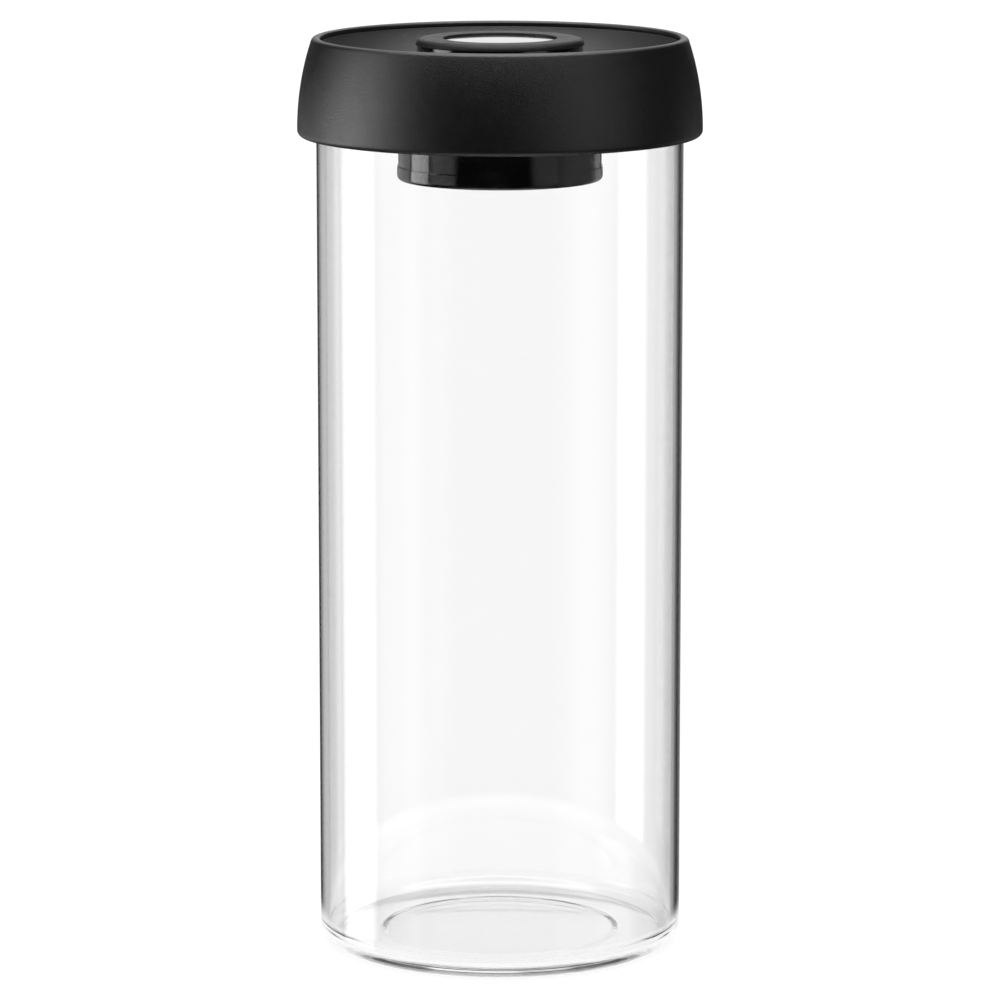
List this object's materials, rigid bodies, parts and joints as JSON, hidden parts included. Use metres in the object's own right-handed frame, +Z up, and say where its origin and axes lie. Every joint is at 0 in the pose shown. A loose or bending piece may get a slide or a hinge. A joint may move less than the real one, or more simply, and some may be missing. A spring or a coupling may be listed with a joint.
{
  "type": "vacuum storage jar",
  "caption": "Tall clear glass storage jar with a matte black vacuum lid: dished top, press-to-pump button and a pump drum that hangs inside the glass.",
  "frame": {"origin": "centre of the jar's foot, on the surface it stands on", "axes": "+Z up along the jar's axis, towards the button; -Y faces the picture's camera"},
  "size_m": [0.1104, 0.1104, 0.2511],
  "materials": {
    "glass": "clear, fire polished",
    "matte_black": "fine grained matte",
    "soft_touch": "soft-touch satin",
    "liner_black": "as moulded",
    "gloss_black": "high gloss",
    "polished_steel": "polished, slightly domed",
    "steel": "bright wire and screws",
    "silicone": "soft matte",
    "nitrile": "soft matte",
    "felt": "thin felt"
  },
  "bodies": {
    "jar": {"glass_jar": "glass"},
    "lid": {"lid_cover": "matte_black", "top_dish": "matte_black", "inner_liner": "liner_black", "jar_gasket": "silicone", "lid_screws": "steel", "pump_cylinder": "gloss_black", "cylinder_o_ring": "nitrile", "cylinder_cap": "gloss_black", "inlet_filter": "felt", "inlet_flap_valve": "silicone", "return_spring": "steel", "poppet_spring": "steel"},
    "button": {"plunger": "gloss_black", "button_ring": "soft_touch", "piston_seal": "silicone", "button_screws": "steel", "release_spring": "steel"},
    "release": {"metal_disc": "polished_steel", "release_rod": "liner_black", "rod_o_ring": "nitrile", "rod_clip": "steel"},
    "poppet": {"valve_poppet": "liner_black", "poppet_seal": "silicone", "stem_clip": "steel"}
  },
  "joints": [
    {"name": "lid_lift", "type": "slide", "parent": "jar", "child": "lid", "axis": [0, 0, 1], "range_m": [0, 0.15]},
    {"name": "button_press", "type": "slide", "parent": "lid", "child": "button", "axis": [0, 0, -1], "range_m": [0, 0.009], "stiffness_N_per_m": 1500, "springref_m": -0.006, "deforming": ["return_spring"]},
    {"name": "release_press", "type": "slide", "parent": "button", "child": "release", "axis": [0, 0, -1], "range_m": [0, 0.003], "stiffness_N_per_m": 900, "springref_m": -0.002, "deforming": ["release_spring"]},
    {"name": "poppet_open", "type": "slide", "parent": "lid", "child": "poppet", "axis": [0, 0, -1], "range_m": [0, 0.0014], "stiffness_N_per_m": 400, "springref_m": -0.001, "deforming": ["poppet_spring"]}
  ],
  "couplings": [
    {"joint": "poppet_open", "follows": "release_press", "ratio": 0.46}
  ]
}
